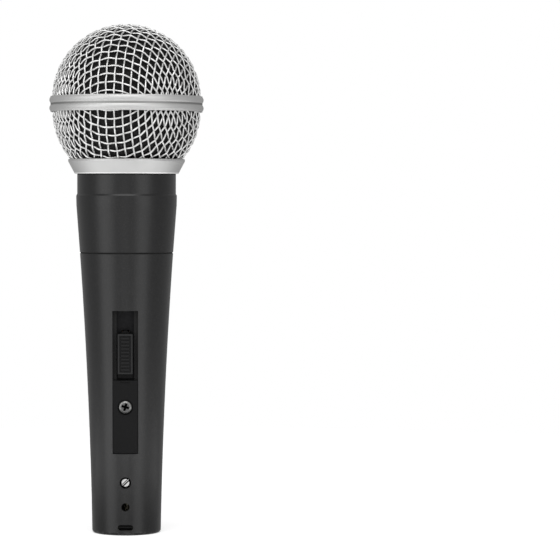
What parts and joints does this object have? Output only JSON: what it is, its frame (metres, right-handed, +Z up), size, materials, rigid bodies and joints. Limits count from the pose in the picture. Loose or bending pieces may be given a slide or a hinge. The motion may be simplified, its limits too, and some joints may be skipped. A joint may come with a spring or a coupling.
{
  "type": "dynamic microphone",
  "caption": "Handheld dynamic vocal microphone: woven wire ball grille on a tapered dark handle with a recessed slide switch and a three-pin connector in its end.",
  "frame": {"origin": "centre of the handle's flat end face, on the microphone's axis", "axes": "+Z up the microphone's axis to the grille, -Y to the switch side, +X to the right as seen from the switch side"},
  "size_m": [0.0515, 0.0514, 0.1702],
  "materials": {
    "grip_paint": "satin",
    "satin_cast": "satin",
    "grille_wire": "polished",
    "foam": "matte",
    "rubber": "matte",
    "black_plastic": "matte",
    "felt": "matte",
    "cream_plastic": "satin",
    "plated_steel": "satin",
    "magnet_nickel": "polished",
    "copper": "gloss",
    "film": "gloss",
    "acoustic_cloth": "matte",
    "phenolic": "satin",
    "tinned_brass": "satin",
    "cover_plastic": "satin",
    "button_plastic": "satin",
    "screw_steel": "satin",
    "black_steel": "satin",
    "contact_plating": "gloss",
    "bright_screw": "polished",
    "lead_red": "satin",
    "lead_white": "satin"
  },
  "bodies": {
    "handle": {"handle_shell": "grip_paint", "neck_sleeve": "grip_paint", "shock_mount": "rubber", "capsule_cup": "black_plastic", "rear_felt": "felt", "capsule_frame": "cream_plastic", "yoke": "plated_steel", "magnet": "magnet_nickel", "pole_piece": "plated_steel", "diaphragm_ring": "plated_steel", "front_cloth": "acoustic_cloth", "resonator_cap": "black_plastic", "terminal_board": "phenolic", "capsule_lugs": "tinned_brass", "switch_cover": "cover_plastic", "cover_screw": "screw_steel", "switch_can": "black_steel", "switch_base": "phenolic", "switch_terminals": "tinned_brass", "xlr_insulator": "black_plastic", "xlr_pin_1": "contact_plating", "xlr_pin_2": "contact_plating", "xlr_pin_3": "contact_plating", "ground_lug": "tinned_brass", "xlr_set_screw": "bright_screw", "capsule_lead_hot": "lead_red", "capsule_lead_cold": "lead_white", "xlr_lead_hot": "lead_red", "xlr_lead_cold": "lead_white"},
    "head": {"grille_collar": "satin_cast", "grille_bowl": "grille_wire", "grille_band": "satin_cast", "grille_dome": "grille_wire", "foam_bowl": "foam", "foam_dome": "foam"},
    "slider": {"switch_button": "button_plastic", "switch_carriage": "cream_plastic", "switch_clips": "copper"},
    "coil": {"voice_coil": "copper", "diaphragm": "film"}
  },
  "joints": [
    {"name": "switch_slide", "type": "slide", "parent": "handle", "child": "slider", "axis": [0, -0.0459, 0.9989], "range_m": [0, 0.006]},
    {"name": "head_lift", "type": "slide", "parent": "handle", "child": "head", "axis": [0, 0, 1], "range_m": [0, 0.05]},
    {"name": "coil_travel", "type": "slide", "parent": "handle", "child": "coil", "axis": [0, 0, 1], "range_m": [-0.0002, 0.0002], "stiffness_N_per_m": 300, "deforming": ["diaphragm"]}
  ]
}
